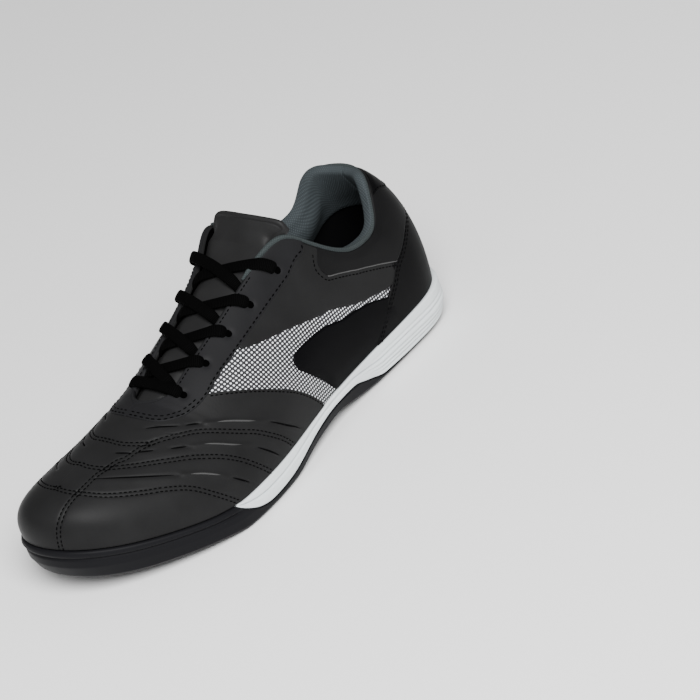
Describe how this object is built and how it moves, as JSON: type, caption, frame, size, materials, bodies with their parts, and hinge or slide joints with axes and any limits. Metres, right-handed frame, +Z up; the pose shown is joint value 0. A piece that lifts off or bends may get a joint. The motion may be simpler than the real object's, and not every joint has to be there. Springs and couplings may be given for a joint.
{
  "type": "indoor sports shoe",
  "caption": "Low lace-up indoor sports shoe: hollow upper with overlays, padded collar and tongue, flat lace, white foam wedge and cupped rubber sole.",
  "frame": {"origin": "middle of the shoe in plan, on the floor that it stands on", "axes": "+X to the toe, +Y to the outer side of the left foot, +Z up"},
  "size_m": [0.2979, 0.1015, 0.1171],
  "materials": {
    "leather": "black synthetic leather, fine grain, satin",
    "mesh": "black open mesh with pale dots",
    "lining": "slate grey knit",
    "rubber": "black moulded rubber, satin",
    "foam": "white moulded foam, satin",
    "lace": "black flat woven lace"
  },
  "bodies": {
    "root": {"outsole": "rubber", "midsole": "foam", "insole": "lining", "upper": "mesh", "vamp": "leather", "eyestay": "leather", "quarter_band_outer": "leather", "quarter_band_inner": "leather", "side_panel_outer": "leather", "side_panel_inner": "leather", "heel_counter": "leather", "collar_panel": "leather", "collar_pad": "lining", "tongue": "leather", "lace_bar": "lace", "lace_cross_1": "lace", "lace_cross_2": "lace", "lace_cross_3": "lace", "lace_cross_4": "lace"}
  },
  "joints": []
}
